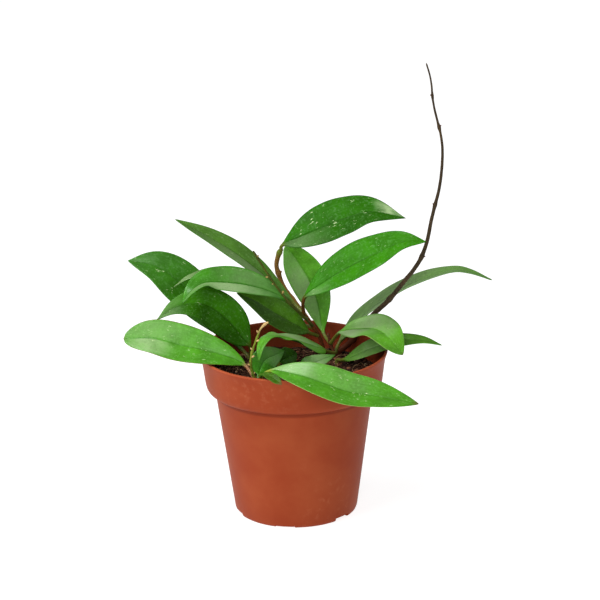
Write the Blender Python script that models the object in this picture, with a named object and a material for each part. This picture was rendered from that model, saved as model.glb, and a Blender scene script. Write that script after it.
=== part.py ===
"""A potted hoya: a plastic grower's pot, its soil, and a young plant of a few stems and long waxy leaves.

Origin: the centre of the pot's base, on the surface it stands on. +Z is up and -Y is the front.
Sizes are in millimetres here and become metres as each mesh is made.
"""

import math

import bmesh
import bpy
from mathutils import Matrix, Vector, noise

MM = 0.001
GAP = 0.3  # clearance between pieces that touch

# Pot: radii and heights
POT_HEIGHT = 96.0
RIM_RADIUS = 54.0
WALL = 1.1
BAND_LOW = 73.5  # height of the step under the rim band
BAND_RADIUS = 50.8  # the band just above the step
BODY_TOP_RADIUS = 45.5
BODY_FOOT_RADIUS = 35.2
FOOT_RADIUS = 34.0
FOOT_INNER_RADIUS = 30.5
FLOOR_LOW = 2.6
FLOOR_HIGH = 4.2
BOSS_RADIUS = 12.0
POT_SIDES = 60
NOTCHES = 6
NOTCH_WIDTH = 11.0
NOTCH_HEIGHT = 1.7
NOTCH_TURN = -6.0  # degrees from the front
DRAIN_RADIUS = 3.2
DRAIN_HEIGHT = 4.8

# Soil
SOIL_HEIGHT = 80.5
SOIL_RELIEF = 2.0
SOIL_SIDES = 48
SOIL_RINGS = (8, 16, 24, 32, 39, 45)
BURIED = 8.0  # how deep stems and stalks stand in their holes
STRAIGHT_FOOT = 3.0  # how far above the soil they stay upright
HOLE_SLACK = 1.06  # makes up for the flat sides of a hole

# Leaves and stems
STALK_RADIUS = 1.0
STALK_END_RADIUS = 0.55
BLADE_THICKNESS = 1.0
RIB_DEPTH = 0.5
LEAF_SIDES = 12
STALK_STATIONS = (0.0, 0.3, 0.7)
BLADE_STATIONS = (0.0, 0.06, 0.14, 0.25, 0.37, 0.49, 0.61, 0.73, 0.84, 0.93, 1.0)
STEM_SIDES = 8
STEM_RING_SPACING = 7.0
CURVE_STEPS = 8  # points worked out along each span of a curve

# Stems that stand in the soil: where, the points each grows through above it, and its radius low and at the tip
STEMS = {
    "whip": dict(
        at=(26, 31), route=[(31, 29, 87.6), (35, 25, 93.3), (41, 21, 102.6), (47, 17, 111), (56, 12, 121.5),
                            (64, 8, 133), (69, 6, 140), (73.5, 4, 148), (77, 2, 159), (79, 1, 170), (81, 0, 179),
                            (83.5, 0, 189), (85, 0, 200), (85.5, 0, 212), (84.5, 0, 221), (82.5, 0, 229.5),
                            (81, 0, 236), (80, 0, 242.5), (79.5, 0, 249), (78.5, 0, 255), (76.5, 0, 262)],
        radii=(1.8, 0.45)),
    "vine": dict(at=(18, 31), route=[(15, 28, 94), (10, 24, 104), (6, 21, 110)], radii=(1.3, 1.0)),
    "dark_stem": dict(at=(24, 27), route=[(22, 28, 88), (20, 29, 96)], radii=(1.1, 0.8)),
    "left_stem": dict(at=(-23, 6), route=[(-24, 6, 88), (-25, 6, 94)], radii=(1.3, 1.1)),
    "front_twig": dict(
        at=(-20, -30), route=[(-21, -30, 86), (-23, -30, 92), (-24, -30, 99), (-23, -29, 105), (-20, -28, 113),
                              (-18, -28, 118), (-14, -28, 122)],
        radii=(0.8, 0.5)),
}
# Side shoots: the stem each grows from and the height there, the points it grows through, and its radii
SHOOTS = {
    "upper_shoot": dict(stem="vine", at=101, route=[(6, 31, 108), (0, 35, 115), (-5, 37, 122), (-8, 38, 130),
                                                    (-9, 38, 136), (-7, 37, 143), (-6, 36, 145)],
                        radii=(1.2, 1.4)),
    "old_twig": dict(stem="vine", at=102, route=[(6, 14, 111), (-1, 9, 120), (-6, 8, 127), (-13, 6, 138),
                                                 (-22, 5, 154)],
                     radii=(0.8, 0.6)),
}

# Leaves. Each grows from a stem at a height, or stands in the soil at (x, y). Its midrib runs through the route,
# from the foot of the blade to the tip. Its upper side faces one way at the foot and another at the tip. Its edges
# rise (+) or fall (-) from the midrib, it is widest at a share of its length, and its tip is fine (1) or blunt (0.5).
UP_AND_FRONT = (0.0, -0.7, 0.7)
LEAVES = {
    "front_right_leaf": dict(
        stem="front_twig", at=86, route=[(-13, -43, 98), (4, -52, 98.5), (17, -56, 95), (29, -58, 91),
                                         (46, -59, 88), (69, -60, 83)],
        width=24, faces=((0.0, -0.5, 0.9), (0.1, -0.55, 0.85)), rise=0.1, widest=0.48, point=0.9),
    "front_left_leaf": dict(
        stem="front_twig", at=88, route=[(-27, -22, 94), (-37, -21, 99.5), (-52, -20, 104),
                                         (-66, -18, 107), (-80, -16, 110), (-96, -14, 109)],
        width=24, faces=((0.0, -0.7, 0.7), (0.0, -0.65, 0.75)), rise=0.1, widest=0.6, point=0.55),
    "rim_leaf": dict(
        stem="front_twig", at=82, route=[(-18, -46.5, 97), (-13, -53, 98.3), (-6.5, -59, 95.5)],
        width=6, faces=((0.0, -0.3, 1.0), (0.0, -0.5, 0.85)), rise=0.1, widest=0.6),
    "small_front_leaf": dict(
        stem="front_twig", at=83, route=[(-20, -24, 89), (-18, -18.5, 93), (-15, -14.5, 95.5),
                                         (-5, -9.5, 98.5)],
        width=15, faces=((0.0, -1.0, 0.3), (0.2, -1.0, 0.4)), rise=0.1, widest=0.4),
    "left_droop_leaf": dict(
        stem="left_stem", at=91, route=[(-25, 2, 98), (-29, 2, 103), (-37, 1, 114), (-48, -1, 123.5),
                                        (-58, -3, 125.5), (-68, -5, 123.5), (-78, -8, 117)],
        width=23, faces=((0.2, -1.0, 0.4), (-0.2, -0.7, 0.7)), rise=0.0, widest=0.38, point=1.3),
    "far_left_leaf": dict(
        stem="left_stem", at=88, route=[(-29, 11, 92), (-34, 12, 97), (-48, 14, 114), (-63, 16, 131),
                                        (-77, 16, 142), (-94, 16, 146)],
        width=26, faces=((0.4, -0.8, 0.5), (0.2, -0.8, 0.5)), rise=0.05, widest=0.58),
    "long_upper_left_leaf": dict(
        stem="vine", at=109, route=[(0, 27, 116), (-19, 29, 134.5), (-40, 32, 150), (-67, 34, 165)],
        width=18, faces=((0.4, -0.3, 0.85), (0.3, -0.4, 0.85)), rise=0.1, widest=0.48),
    "arched_leaf": dict(
        stem="vine", at=107, route=[(-3, 13.5, 120.5), (-8, 12, 124.8), (-14, 10, 128.5), (-21, 8, 131.5),
                                    (-30, 5, 134.6), (-41, 1, 137), (-50, -3, 137.8), (-57, -9, 135),
                                    (-62, -12, 128.5)],
        width=19, faces=((0.2, -0.5, 0.85), (-0.6, -0.6, 0.6)), rise=0.25, widest=0.5),
    "hidden_twin_leaf": dict(
        stem="vine", at=100, route=[(2.5, 27, 103.5), (-6, 27, 114.5), (-21, 25, 128), (-42, 20, 136.5),
                                    (-58, 12, 137), (-68, 9, 131.5)],
        width=12, faces=((0.2, -0.4, 0.85), (-0.5, -0.4, 0.7)), rise=0.0, widest=0.5, point=1.3),
    "under_leaf": dict(
        stem="vine", at=95, route=[(9, 22.5, 98.5), (3, 20, 103.5), (-10, 16, 113), (-21, 12, 121.5),
                                   (-32, 8, 128)],
        width=20, faces=((0.5, -0.6, 0.6), (0.5, -0.6, 0.6)), rise=0.0, widest=0.45),
    "top_leaf": dict(
        stem="upper_shoot", at=146, route=[(-5, 35, 148), (5, 32, 154), (19, 29, 161), (31, 27, 166),
                                           (46, 25, 170), (66, 23, 166)],
        width=26, faces=(UP_AND_FRONT, UP_AND_FRONT), rise=0.1, widest=0.43, point=1.15),
    "upper_right_leaf": dict(
        stem="vine", at=112, route=[(7, 12, 123), (19, 6, 135), (34, 0, 146), (48, -4, 154),
                                    (62, -7, 161), (76, -8, 161)],
        width=24, faces=(UP_AND_FRONT, (0.0, -0.6, 0.8)), rise=0.1, widest=0.5),
    "upright_leaf": dict(
        stem="dark_stem", at=90, route=[(18, 39, 92), (16, 42, 102), (14, 44, 112), (10, 45, 123),
                                        (5, 46, 132), (0.5, 46, 139), (-4, 46, 144)],
        width=22, faces=((-0.2, -1.0, 0.2), (-0.2, -1.0, 0.2)), rise=0.1, widest=0.6, point=0.7),
    "long_right_leaf": dict(
        stem="dark_stem", at=84, route=[(27.5, 34, 89), (38.5, 38, 101.5), (52, 33, 114), (71, 25, 127.5),
                                        (91, 20, 135), (102, 17, 135), (115, 13, 131)],
        width=21, faces=((-0.45, -0.25, 0.8), (0.0, 0.05, 1.0)), rise=0.05, widest=0.42),
    "right_droop_leaf": dict(
        stem="dark_stem", at=90, route=[(26, 23, 97), (30.5, 16, 101.5), (38, 7, 105.5), (47, -5, 109),
                                        (54.5, -14, 106.5), (62, -17, 97)],
        width=23, faces=((-0.2, -0.55, 0.8), (0.6, -0.7, 0.4)), rise=0.1, widest=0.6, point=0.8),
    "low_right_leaf": dict(
        stem="soil", at=(25, 16), route=[(29, 13, 84.5), (36, 7, 89.5), (43, 2, 94.5), (52.5, -2, 99), (62, -3, 101),
                                         (74, -3, 101), (85, -4, 98)],
        width=12.5, faces=((-0.2, -0.6, 0.8), (0.0, -0.4, 0.9)), rise=0.1, widest=0.42),
    "folded_leaf": dict(
        stem="dark_stem", at=84, route=[(18, 20, 88), (13, 14, 92.5), (7, 7, 97.5), (1, -1, 102.5),
                                        (-5, -9, 107), (-11, -15, 109.5), (-15.5, -20, 109.5),
                                        (-18.5, -24.5, 105.5), (-19.5, -27.5, 98)],
        width=16, faces=((0.3, -0.35, 0.9), (-0.8, -0.5, 0.3)), rise=-0.1, widest=0.38, point=0.75),
    "small_centre_leaf": dict(
        stem="soil", at=(2, -8), route=[(5, -8, 88), (10.5, -7, 89.5), (17, -4, 91), (24, 0, 92)],
        width=10, faces=((0.0, -0.8, 0.6), (0.0, -0.6, 0.8)), rise=0.0, widest=0.25),
    "shaded_leaf": dict(
        stem="soil", at=(-9, 5), route=[(-8, 6, 86), (-5, 7, 88), (2, 9, 90.5)],
        width=12, faces=((0.0, -0.9, 0.3), (0.0, -0.9, 0.3)), rise=0.0, widest=0.45, point=0.8),
}


def clear_scene():
    for obj in list(bpy.data.objects):
        bpy.data.objects.remove(obj, do_unlink=True)


def make_material(name, colour, roughness):
    material = bpy.data.materials.new(name)
    material.use_nodes = True
    shader = material.node_tree.nodes["Principled BSDF"]
    shader.inputs["Base Color"].default_value = (*colour, 1.0)
    shader.inputs["Roughness"].default_value = roughness
    shader.inputs["Metallic"].default_value = 0.0
    return material


def add_object(name, bm, material, smooth_degrees=40):
    """Makes an object of this mesh, which is in millimetres."""
    bmesh.ops.scale(bm, vec=(MM, MM, MM), verts=bm.verts)
    bmesh.ops.recalc_face_normals(bm, faces=bm.faces)
    mesh = bpy.data.meshes.new(name)
    bm.to_mesh(mesh)
    bm.free()
    mesh.shade_smooth()
    mesh.set_sharp_from_angle(angle=math.radians(smooth_degrees))
    mesh.materials.append(material)
    obj = bpy.data.objects.new(name, mesh)
    bpy.context.scene.collection.objects.link(obj)
    return obj


def spin_profile(points, sides):
    """A closed body turned about Z from a profile of (radius, height) that starts and ends on the axis."""
    bm = bmesh.new()
    verts = [bm.verts.new((radius, 0.0, height)) for radius, height in points]
    edges = [bm.edges.new(pair) for pair in zip(verts, verts[1:])]
    bmesh.ops.spin(bm, geom=verts + edges, cent=(0, 0, 0), axis=(0, 0, 1), angle=math.tau, steps=sides,
                   use_merge=True)
    bmesh.ops.remove_doubles(bm, verts=bm.verts, dist=0.001)
    return bm


# ---------------------------------------------------------------------------------------------------- pot

def body_radius(height):
    """Outer radius of the tapered body."""
    return BODY_FOOT_RADIUS + (BODY_TOP_RADIUS - BODY_FOOT_RADIUS) * height / BAND_LOW


def pot_outside():
    """Profile from the foot up the outside to the lip."""
    return [
        (FOOT_RADIUS, 0.0),
        (body_radius(0) - 0.3, 0.6),
        (body_radius(2.2), 2.2),
        (body_radius(30), 30.0),
        (body_radius(BAND_LOW - 3), BAND_LOW - 3.0),
        (body_radius(BAND_LOW - 1) + 0.3, BAND_LOW - 1.0),
        (BODY_TOP_RADIUS + 1.6, BAND_LOW),
        (BAND_RADIUS - 1.7, BAND_LOW + 0.9),
        (BAND_RADIUS - 0.5, BAND_LOW + 2.4),
        (BAND_RADIUS, BAND_LOW + 4.5),
        (BAND_RADIUS + 1.3, POT_HEIGHT - 8.0),
        (RIM_RADIUS - 0.9, POT_HEIGHT - 3.2),
        (RIM_RADIUS - 0.1, POT_HEIGHT - 1.0),
        (RIM_RADIUS, POT_HEIGHT - 0.4),
        (RIM_RADIUS - 0.4, POT_HEIGHT),
    ]


def pot_inside():
    """Profile from the lip down the inside to the floor."""
    return [
        (RIM_RADIUS - WALL, POT_HEIGHT),
        (RIM_RADIUS - WALL - 0.3, POT_HEIGHT - 0.5),
        (RIM_RADIUS - WALL - 1.1, POT_HEIGHT - 3.5),
        (BAND_RADIUS + 1.3 - WALL, POT_HEIGHT - 8.0),
        (BAND_RADIUS - WALL, BAND_LOW + 4.8),
        (BAND_RADIUS - WALL - 1.5, BAND_LOW + 2.1),
        (body_radius(BAND_LOW - 1) - WALL + 0.9, BAND_LOW + 0.6),
        (body_radius(BAND_LOW - 3) - WALL, BAND_LOW - 2.6),
        (body_radius(30) - WALL, 30.0),
        (body_radius(FLOOR_HIGH) - WALL, FLOOR_HIGH + 0.8),
        (body_radius(FLOOR_HIGH) - WALL - 0.9, FLOOR_HIGH),
    ]


def make_pot():
    """The moulded shell: banded rim, tapered wall, floor, foot ring and a centre boss level with the foot."""
    under = [(0.0, 0.0), (BOSS_RADIUS, 0.0), (BOSS_RADIUS + 0.8, FLOOR_LOW), (FOOT_INNER_RADIUS - 0.5, FLOOR_LOW),
             (FOOT_INNER_RADIUS, 0.0)]
    bm = spin_profile(under + pot_outside() + pot_inside() + [(0.0, FLOOR_HIGH)], POT_SIDES)
    pot = add_object("pot", bm, make_material("terracotta_plastic", (0.42, 0.085, 0.03), 0.45))
    for index in range(NOTCHES):
        turn = math.radians(-90 + NOTCH_TURN + index * 360 / NOTCHES)
        cut(pot, box_cutter(f"notch_cutter_{index}", turn))
        cut(pot, cylinder_cutter(f"drain_cutter_{index}", (FOOT_RADIUS * math.cos(turn), FOOT_RADIUS * math.sin(turn)),
                                 DRAIN_RADIUS, -1.0, DRAIN_HEIGHT))
    return pot


def add_cutter(name, bm):
    obj = add_object(name, bm, make_material("cutter", (0.5, 0.5, 0.5), 0.5))
    obj.hide_render = True
    obj.display_type = "WIRE"
    return obj


def box_cutter(name, turn):
    """A radial box across the foot ring."""
    bm = bmesh.new()
    bmesh.ops.create_cube(bm, size=1.0)
    bmesh.ops.scale(bm, vec=(10.0, NOTCH_WIDTH, NOTCH_HEIGHT + 1.0), verts=bm.verts)
    bmesh.ops.translate(bm, vec=(FOOT_RADIUS - 0.5, 0.0, (NOTCH_HEIGHT - 1.0) / 2), verts=bm.verts)
    bmesh.ops.rotate(bm, cent=(0, 0, 0), matrix=Matrix.Rotation(turn, 3, "Z"), verts=bm.verts)
    return add_cutter(name, bm)


def cylinder_cutter(name, centre, radius, low, high, sides=12):
    bm = bmesh.new()
    bmesh.ops.create_cone(bm, cap_ends=True, segments=sides, radius1=radius, radius2=radius, depth=high - low)
    bmesh.ops.translate(bm, vec=(*centre, (low + high) / 2), verts=bm.verts)
    return add_cutter(name, bm)


def cut(obj, cutter):
    modifier = obj.modifiers.new(cutter.name, "BOOLEAN")
    modifier.operation = "DIFFERENCE"
    modifier.object = cutter


# --------------------------------------------------------------------------------------------------- soil

def soil_height(x, y):
    """Height of the uneven surface."""
    bumps = noise.noise(Vector((x * 0.11, y * 0.11, 3.0))) + 0.5 * noise.noise(Vector((x * 0.27, y * 0.27, 8.0)))
    return SOIL_HEIGHT + SOIL_RELIEF * bumps


def make_soil():
    """The filling, a gap off the pot's wall all round, with a hole for each stem that stands in it."""
    side = [(radius - GAP - 0.1, height) for radius, height in pot_inside() if height < SOIL_HEIGHT - 1]
    side[-1] = (side[-1][0], FLOOR_HIGH + GAP)
    wall_radius = BAND_RADIUS - WALL - GAP - 0.1
    top = [(0.0, SOIL_HEIGHT)] + [(radius, SOIL_HEIGHT) for radius in SOIL_RINGS] + [(wall_radius, SOIL_HEIGHT)]
    bm = spin_profile(top + side + [(0.0, FLOOR_HIGH + GAP)], SOIL_SIDES)
    for vert in bm.verts:
        if vert.co.z > SOIL_HEIGHT - 0.5:
            vert.co.z = soil_height(vert.co.x, vert.co.y)
    soil = add_object("soil", bm, make_material("potting_mix", (0.05, 0.03, 0.02), 0.95))
    roots = {name: (plan["at"], plan["radii"][0]) for name, plan in STEMS.items()}
    roots.update({name: (plan["at"], STALK_RADIUS) for name, plan in LEAVES.items() if plan["stem"] == "soil"})
    for name, (at, radius) in roots.items():
        cut(soil, cylinder_cutter(f"{name}_hole_cutter", at, (radius + GAP) * HOLE_SLACK,
                                  SOIL_HEIGHT - BURIED - GAP, SOIL_HEIGHT + 2 * SOIL_RELIEF))
    return soil


# ----------------------------------------------------------------------------------------- curves and tubes

def smooth_curve(points, per_span):
    """Points along a Catmull-Rom curve through these, evenly enough spaced for a lookup by length."""
    ends = [points[0] * 2 - points[1]] + list(points) + [points[-1] * 2 - points[-2]]
    out = []
    for index in range(1, len(ends) - 2):
        p0, p1, p2, p3 = ends[index - 1:index + 3]
        for step in range(per_span):
            t = step / per_span
            out.append(0.5 * (2 * p1 + (p2 - p0) * t + (2 * p0 - 5 * p1 + 4 * p2 - p3) * t * t
                              + (3 * p1 - p0 - 3 * p2 + p3) * t ** 3))
    return out + [points[-1].copy()]


def curve_lengths(curve):
    lengths = [0.0]
    for a, b in zip(curve, curve[1:]):
        lengths.append(lengths[-1] + (b - a).length)
    return lengths


def point_at(curve, lengths, distance):
    """The point and direction at this distance along a curve."""
    distance = min(max(distance, 0.0), lengths[-1])
    index = 0
    while index < len(curve) - 2 and lengths[index + 1] < distance:
        index += 1
    share = (distance - lengths[index]) / (lengths[index + 1] - lengths[index])
    before = curve[max(index - 1, 0)]
    after = curve[min(index + 2, len(curve) - 1)]
    return curve[index].lerp(curve[index + 1], share), (after - before).normalized()


def loft(rings):
    """A closed body through rings of points, each side split into triangles alike on its two faces."""
    count = len(rings[0])
    bm = bmesh.new()
    ring = bmesh.ops.create_circle(bm, segments=count, radius=1.0)["verts"]
    loops = [ring]
    for _ in rings[1:]:
        edges = [bm.edges.get((ring[i], ring[(i + 1) % count])) for i in range(count)]
        made = bmesh.ops.extrude_edge_only(bm, edges=edges)["geom"]
        found = {}
        for face in (item for item in made if isinstance(item, bmesh.types.BMFace)):
            for edge in face.edges:
                for here, there in (edge.verts, reversed(edge.verts)):
                    if here in ring and there not in ring:
                        found[here] = there
        ring = [found[vert] for vert in ring]
        loops.append(ring)
    for loop, points in zip(loops, rings):
        for vert, point in zip(loop, points):
            vert.co = point
    for lower, upper in zip(loops, loops[1:]):
        for i in range(count):
            j = (i + 1) % count
            face = next(f for f in lower[i].link_faces if {lower[i], lower[j], upper[i], upper[j]} == set(f.verts))
            if i < count // 2:
                bmesh.utils.face_split(face, lower[i], upper[j])
            else:
                bmesh.utils.face_split(face, lower[j], upper[i])
    bm.faces.new(loops[0])
    bm.faces.new(loops[-1])
    return bm


# -------------------------------------------------------------------------------------------------- stems

def frame_at(direction, facing):
    """Side and normal of a section across this direction, its normal as near to facing as can be."""
    normal = (facing - direction * facing.dot(direction)).normalized()
    return direction.cross(normal).normalized(), normal


def tube_rings(curve, stations, radii, sides):
    lengths = curve_lengths(curve)
    side = None
    rings = []
    for share, radius in zip(stations, radii):
        centre, direction = point_at(curve, lengths, share * lengths[-1])
        side, normal = frame_at(direction, side.cross(direction) if side else Vector((0.3, -1.0, 0.1)))
        turns = [math.tau * i / sides for i in range(sides)]
        rings.append([centre - side * (radius * math.cos(t)) + normal * (radius * math.sin(t)) for t in turns])
    return rings


def root_points(at):
    """The straight foot of a stem or stalk: down in its hole, then a little way above the soil."""
    return [Vector((*at, height)) for height in (SOIL_HEIGHT - BURIED, SOIL_HEIGHT, SOIL_HEIGHT + STRAIGHT_FOOT)]


def stem_plan(name):
    return STEMS.get(name) or SHOOTS[name]


def stem_curve(name):
    plan = stem_plan(name)
    route = [Vector(point) for point in plan["route"]]
    if name in STEMS:
        return smooth_curve(root_points(plan["at"]) + route, CURVE_STEPS)
    return smooth_curve([seat_on(plan["stem"], plan["at"], route[0], plan["radii"][0])] + route, CURVE_STEPS)


def seat_on(stem, height, towards, end_radius):
    """Where a stalk that heads towards a point meets a stem: just off its bark at this height, or off its tip."""
    curve = stem_curve(stem)
    index = min(range(len(curve)), key=lambda i: abs(curve[i].z - height))
    along = (curve[min(index + 1, len(curve) - 1)] - curve[max(index - 1, 0)]).normalized()
    away = towards - curve[index]
    lean = away.normalized().dot(along)
    low, high = stem_plan(stem)["radii"]
    if index == len(curve) - 1 and lean > 0.7:
        return curve[index] + away.normalized() * (GAP + (high + end_radius) * math.sqrt(1 - lean * lean))
    radius = low + (high - low) * index / (len(curve) - 1)
    outward = (away - along * away.dot(along)).normalized()
    return curve[index] + outward * (radius + GAP + end_radius * abs(lean))


def make_stem(name, material):
    """A tapered tube with a ring about every so many millimetres."""
    curve = stem_curve(name)
    count = max(4, round(curve_lengths(curve)[-1] / STEM_RING_SPACING))
    stations = [i / count for i in range(count + 1)]
    low, high = stem_plan(name)["radii"]
    radii = [low + (high - low) * share for share in stations]
    return add_object(name, loft(tube_rings(curve, stations, radii, STEM_SIDES)), material)


# -------------------------------------------------------------------------------------------------- leaves

def blade_half_width(t, width, widest, point):
    """Half the blade's width at share t of its length: widest where asked, with a fine (1) or blunt (0.5) tip."""
    return width / 2 * (t / widest) ** (point * widest / (1 - widest)) * ((1 - t) / (1 - widest)) ** point


def leaf_section(centre, side, normal, half, rise, thickness, rib, squareness):
    """Points round a section: the left edge, over the upper face to the right edge, and back underneath."""
    points = []
    for index in range(LEAF_SIDES):
        turn = math.tau * index / LEAF_SIDES
        across, up = -math.cos(turn), math.sin(turn)
        lift = rise * half * abs(across) ** 1.4
        skin = math.copysign(abs(up) ** squareness, up) * thickness / 2
        if up < -0.99:
            skin -= rib
        points.append(centre + side * (half * across) + normal * (lift + skin))
    return points


def leaf_rings(stalk, route, width, faces, rise, widest, point=1.0):
    """Sections of a leaf: a round stalk through these points, then the blade along its route."""
    curve = smooth_curve([Vector(p) for p in [*stalk, *route]], CURVE_STEPS)
    lengths = curve_lengths(curve)
    foot = lengths[CURVE_STEPS * len(stalk)]
    face_foot, face_tip = Vector(faces[0]), Vector(faces[1])
    rings = []
    for share in STALK_STATIONS:
        centre, direction = point_at(curve, lengths, foot * share)
        side, normal = frame_at(direction, face_foot)
        radius = STALK_END_RADIUS if share == 0 else STALK_RADIUS
        rings.append(leaf_section(centre, side, normal, radius, 0.0, 2 * radius, 0.0, 1.0))
    for t in BLADE_STATIONS:
        centre, direction = point_at(curve, lengths, foot + (lengths[-1] - foot) * t)
        side, normal = frame_at(direction, face_foot.lerp(face_tip, t))
        spread = min(t / 0.12, 1.0)
        half = max(blade_half_width(t, width, widest, point), STALK_RADIUS * (1 - t) + 0.35 * t)
        thickness = 2 * STALK_RADIUS + (BLADE_THICKNESS - 2 * STALK_RADIUS) * spread
        rib = RIB_DEPTH * spread * (1 - t)
        rings.append(leaf_section(centre, side, normal, half, rise * spread, thickness, rib, 1.0 - 0.6 * spread))
    return rings


def make_leaf(name, stem, at, route, **shape):
    if stem == "soil":
        stalk = root_points(at)
    else:
        stalk = [seat_on(stem, at, Vector(route[0]), STALK_END_RADIUS)]
    return add_object(name, loft(leaf_rings(stalk, route, **shape)), LEAF_MATERIAL)


clear_scene()
BARK = make_material("bark", (0.05, 0.03, 0.02), 0.7)
LEAF_MATERIAL = make_material("waxy_leaf", (0.08, 0.35, 0.03), 0.35)
make_pot()
make_soil()
for stem_name in [*STEMS, *SHOOTS]:
    make_stem(stem_name, BARK)
for leaf_name, plan in LEAVES.items():
    make_leaf(leaf_name, **plan)
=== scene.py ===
"""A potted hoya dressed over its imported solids: waxy leaves, woody stems, potting mix and a plastic pot.

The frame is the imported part's: the origin is under the middle of the pot, +Z is up and -Y is the front.
Sizes and places are in millimetres here and become metres as each mesh is made. Lights and the camera are
placed in metres.
"""

import math
import random

import bmesh
import bpy
from mathutils import Matrix, Vector, noise


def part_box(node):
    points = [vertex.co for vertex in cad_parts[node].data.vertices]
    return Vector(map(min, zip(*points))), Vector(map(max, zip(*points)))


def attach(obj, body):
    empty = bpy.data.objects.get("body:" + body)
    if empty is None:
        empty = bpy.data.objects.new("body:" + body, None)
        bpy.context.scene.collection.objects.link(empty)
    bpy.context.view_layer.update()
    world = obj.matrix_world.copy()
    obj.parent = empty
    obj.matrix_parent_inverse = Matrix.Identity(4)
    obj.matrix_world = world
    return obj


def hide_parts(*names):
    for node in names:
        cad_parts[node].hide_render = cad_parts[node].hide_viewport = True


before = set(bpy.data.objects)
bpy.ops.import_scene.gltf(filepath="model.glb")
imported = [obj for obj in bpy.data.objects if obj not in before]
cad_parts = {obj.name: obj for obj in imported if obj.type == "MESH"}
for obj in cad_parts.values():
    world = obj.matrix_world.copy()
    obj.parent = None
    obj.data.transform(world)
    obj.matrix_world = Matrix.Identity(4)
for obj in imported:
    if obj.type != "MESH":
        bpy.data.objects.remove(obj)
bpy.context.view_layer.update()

MM = 0.001

# Pot: its top and rim radius from the imported solids, its other radii and heights given here
POT_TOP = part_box("pot")[1].z / MM
RIM_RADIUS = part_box("pot")[1].x / MM
WALL = 1.1
BAND_LOW = 73.5  # height of the step under the rim band
BAND_RADIUS = 50.8
BODY_TOP_RADIUS = 45.5
BODY_FOOT_RADIUS = 35.2
FOOT_RADIUS = 34.0
FOOT_INNER_RADIUS = 30.5
FLOOR_LOW = 2.6
FLOOR_HIGH = 4.2
BOSS_RADIUS = 12.0
POT_SIDES = 180
SHARP_ANGLE = 38.0  # degrees: a steeper edge stays crisp
WALL_SLOPE = (RIM_RADIUS - BAND_RADIUS) / (POT_TOP - BAND_LOW)
INSIDE_RADIUS = 39.2  # of the wall's inner face, carried down to the ground at that slope
INSIDE_BLUR = 0.3
INSIDE_SHADE_HEIGHTS = (76.0, 79.0)  # the painted shade on the inner wall sets in from one to the other
GROOVE_SHADOW_HEIGHT = BAND_LOW - 1.4  # of the painted shadow line under the band
GROOVE_SHADOW_REACH = (2.2, 0.6)
LIP_HIGHLIGHT_REACH = (1.2, 0.4)  # under the pot's top, of the painted highlight along its lip

# Notches and drain holes round the pot's foot
NOTCHES = 6
NOTCH_WIDTH = 11.4
NOTCH_REACH = 10.0  # through the foot
NOTCH_HEIGHTS = (0.85, 2.3)  # shallow and deep ones take turns
NOTCH_TURN = -11.0  # degrees from the front
DRAIN_RADIUS = 2.6
DRAIN_PLACE = 29.5  # from the middle
DRAIN_HEIGHT = 4.8
DRAIN_SIDES = 32
CUT_BELOW = 1.0  # how far a cutter starts under the pot

# Soil
SOIL_HEIGHT = 80.5
SOIL_RELIEF = 2.0
SOIL_LUMPS = 0.7
SOIL_DEPTH = 7.0
SOIL_RADIUS = BAND_RADIUS - WALL - 0.2
SOIL_SIDES = 120
SOIL_RINGS = 30
PLUG_TAPER = 0.86  # the plug's lower ring, as a share of its upper one
CRUMB_GRAIN = 420.0
FIBRE_LENGTHS = (5, 14)
FIBRE_RADII = (0.12, 0.24)
FIBRE_SIDES = 5
FIBRE_POINTS = 5
FIBRE_ARCH = 2.2  # the most that a fibre rises

# Stems
BURIED = 8.0  # how deep stems and stalks stand in the soil
STRAIGHT_FOOT = 3.0
STEM_SIDES = 14
STEM_STEP = 1.2  # between two rings of points
FEWEST_RINGS = 24
SWELL_REACH = 1.6  # how far a joint's swelling reaches along its stem
UNEVENNESS = 0.09  # of a stem's radius
CURVE_STEPS = 8  # between two points of a route

# Leaves
SUNK = 0.5  # how far a stalk's end goes into its stem
STALK_RADIUS = 1.0
STALK_FLARE = 1.35
STALK_SHARE = 0.2  # of a leaf's rows
BLADE_THICKNESS = 0.9
BLADE_SPREAD = 0.12  # share of its length over which a blade spreads from its stalk
TIP_ROUNDING = 0.012  # the same, for its rounded tip
RIB_WIDTH = 0.07  # of the midrib's groove, as a share of half the blade
RIB_SUNK = 0.3  # how deep the groove is above
RIB_PROUD = 0.75  # how far the midrib stands out below
WAVINESS = 0.5  # of a blade's edges
LEAF_ROWS = 84
LEAF_COLUMNS = 56

# Stems that stand in the soil: where, the points each grows through above it, and its radius low and at
# the tip
STEMS = {
    "whip": dict(
        at=(26, 31),
        route=[(31, 29, 87.6), (35, 25, 93.3), (41, 21, 102.6), (47, 17, 111), (56, 12, 121.5),
               (64, 8, 133), (69, 6, 140), (73.5, 4, 148), (77, 2, 159), (79, 1, 170), (81, 0, 179),
               (83.5, 0, 189), (85, 0, 200), (85.5, 0, 212), (84.5, 0, 221), (82.5, 0, 229.5),
               (81, 0, 236), (80, 0, 242.5), (79.5, 0, 249), (78.5, 0, 255), (76.5, 0, 262)],
        radii=(1.8, 0.45)),
    "vine": dict(at=(18, 31), route=[(15, 28, 94), (10, 24, 104), (6, 21, 110)], radii=(1.3, 1.0)),
    "dark_stem": dict(at=(24, 27), route=[(22, 28, 88), (20, 29, 96)], radii=(1.1, 0.8)),
    "left_stem": dict(at=(-23, 6), route=[(-24, 6, 88), (-25, 6, 94)], radii=(1.3, 1.1)),
    "front_twig": dict(
        at=(-20, -30),
        route=[(-21, -30, 86), (-23, -30, 92), (-24, -30, 99), (-23, -29, 105), (-20, -28, 113),
               (-18, -28, 118), (-14, -28, 122)],
        radii=(0.8, 0.5)),
}
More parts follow.
